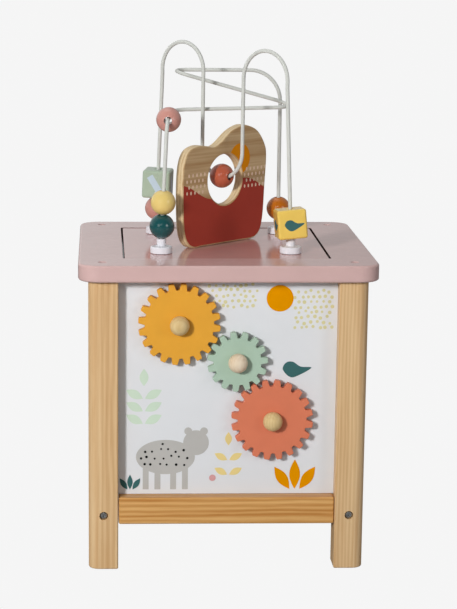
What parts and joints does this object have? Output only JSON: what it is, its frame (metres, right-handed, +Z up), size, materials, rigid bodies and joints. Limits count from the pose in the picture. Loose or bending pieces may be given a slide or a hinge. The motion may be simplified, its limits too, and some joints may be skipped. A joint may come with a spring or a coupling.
{
  "type": "wooden activity cube",
  "caption": "Wooden activity cube for a small child: a legged box with a meshing gear train on its front panel and a lift-off play board carrying a wire bead maze.",
  "frame": {"origin": "centre of the footprint, on the floor that the legs stand on", "axes": "+Z up through the bead maze; the panel with the gears faces -Y; +X to the right when looking at that panel"},
  "size_m": [0.3, 0.3, 0.5242],
  "materials": {
    "pink_paint": "satin paint",
    "pine": "clear lacquer",
    "dark_pine": "clear lacquer",
    "white_panel": "printed satin lacquer",
    "knob_wood": "clear lacquer",
    "plywood": "clear lacquer with print",
    "wire_coating": "satin coating over steel wire",
    "white_plastic": "semi-gloss",
    "steel": "zinc plated",
    "black_steel": "blackened",
    "yellow_gear_paint": "satin paint",
    "green_gear_paint": "satin paint",
    "coral_gear_paint": "satin paint",
    "teal_paint": "gloss paint",
    "yellow_paint": "satin paint",
    "pink_bead_paint": "satin paint",
    "red_paint": "gloss paint",
    "amber_paint": "gloss paint",
    "sage_paint": "satin paint"
  },
  "bodies": {
    "table": {"top_frame": "pink_paint", "leg_front_left": "pine", "leg_front_right": "pine", "leg_back_left": "pine", "leg_back_right": "pine", "rail_front": "dark_pine", "rail_back": "dark_pine", "rail_left": "dark_pine", "rail_right": "dark_pine", "panel_front": "white_panel", "panel_back": "white_panel", "panel_left": "white_panel", "panel_right": "white_panel", "floor_board": "white_panel", "peg_yellow": "knob_wood", "peg_green": "knob_wood", "peg_coral": "knob_wood", "top_screw_front_left": "black_steel", "top_screw_front_right": "black_steel", "top_screw_back_left": "black_steel", "top_screw_back_right": "black_steel", "bolt_x_front_left": "steel", "bolt_x_front_right": "steel", "bolt_x_back_left": "steel", "bolt_x_back_right": "steel", "bolt_y_front_left": "steel", "bolt_y_front_right": "steel", "bolt_y_back_left": "steel", "bolt_y_back_right": "steel", "nut_x_front_left": "steel", "nut_x_front_right": "steel", "nut_x_back_left": "steel", "nut_x_back_right": "steel", "nut_y_front_left": "steel", "nut_y_front_right": "steel", "nut_y_back_left": "steel", "nut_y_back_right": "steel"},
    "play_board": {"play_board": "pink_paint", "hill_board": "plywood", "wire_arched": "wire_coating", "wire_looped": "wire_coating", "cap_front_left": "white_plastic", "cap_front_right": "white_plastic", "cap_back_left": "white_plastic", "cap_back_right": "white_plastic", "hill_screw_left": "steel", "hill_screw_right": "steel"},
    "bead_teal": {"bead_teal": "teal_paint"},
    "bead_yellow": {"bead_yellow": "yellow_paint"},
    "bead_pink_high": {"bead_pink_high": "pink_bead_paint"},
    "bead_amber": {"bead_amber": "amber_paint"},
    "bead_red": {"bead_red": "red_paint"},
    "bead_pink_low": {"bead_pink_low": "pink_bead_paint"},
    "cube_green": {"cube_green": "sage_paint"},
    "cube_yellow": {"cube_yellow": "yellow_paint"},
    "gear_yellow": {"gear_yellow": "yellow_gear_paint"},
    "gear_green": {"gear_green": "green_gear_paint"},
    "gear_coral": {"gear_coral": "coral_gear_paint"}
  },
  "joints": [
    {"name": "board_lift", "type": "slide", "parent": "table", "child": "play_board", "axis": [0, 0, 1], "range_m": [0, 0.08]},
    {"name": "bead_teal_slide", "type": "slide", "parent": "play_board", "child": "bead_teal", "axis": [0.0446, 0.0034, 0.999], "range_m": [0, 0.025]},
    {"name": "bead_yellow_slide", "type": "slide", "parent": "bead_teal", "child": "bead_yellow", "axis": [0.0446, 0.0034, 0.999], "range_m": [0, 0.027]},
    {"name": "bead_pink_high_slide", "type": "slide", "parent": "play_board", "child": "bead_pink_high", "axis": [0.0999, 0.9947, 0.0257], "range_m": [0, 0.038]},
    {"name": "bead_amber_slide", "type": "slide", "parent": "play_board", "child": "bead_amber", "axis": [0, 0, 1], "range_m": [0, 0.09]},
    {"name": "bead_red_swing", "type": "hinge", "parent": "play_board", "child": "bead_red", "pos_m": [-0.00035, 0.00035, 0.412], "axis": [0.7071, 0.7071, 0], "range_deg": [-60, 60]},
    {"name": "bead_pink_low_slide", "type": "slide", "parent": "play_board", "child": "bead_pink_low", "axis": [0.0364, -0.0364, 0.9987], "range_m": [0, 0.047]},
    {"name": "cube_green_slide", "type": "slide", "parent": "bead_pink_low", "child": "cube_green", "axis": [0.0364, -0.0364, 0.9987], "range_m": [0, 0.047]},
    {"name": "cube_yellow_slide", "type": "slide", "parent": "play_board", "child": "cube_yellow", "axis": [-0.0374, 0.0374, 0.9986], "range_m": [0, 0.12]},
    {"name": "gear_yellow_spin", "type": "hinge", "parent": "table", "child": "gear_yellow", "pos_m": [-0.049, -0.1308, 0.253], "axis": [0, -1, 0], "continuous": true},
    {"name": "gear_green_spin", "type": "hinge", "parent": "table", "child": "gear_green", "pos_m": [0.00967, -0.1308, 0.21482], "axis": [0, -1, 0], "continuous": true},
    {"name": "gear_coral_spin", "type": "hinge", "parent": "table", "child": "gear_coral", "pos_m": [0.04541, -0.1308, 0.15463], "axis": [0, -1, 0], "continuous": true}
  ],
  "couplings": [
    {"joint": "gear_green_spin", "follows": "gear_yellow_spin", "ratio": -1.3333},
    {"joint": "gear_coral_spin", "follows": "gear_yellow_spin", "ratio": 1}
  ]
}
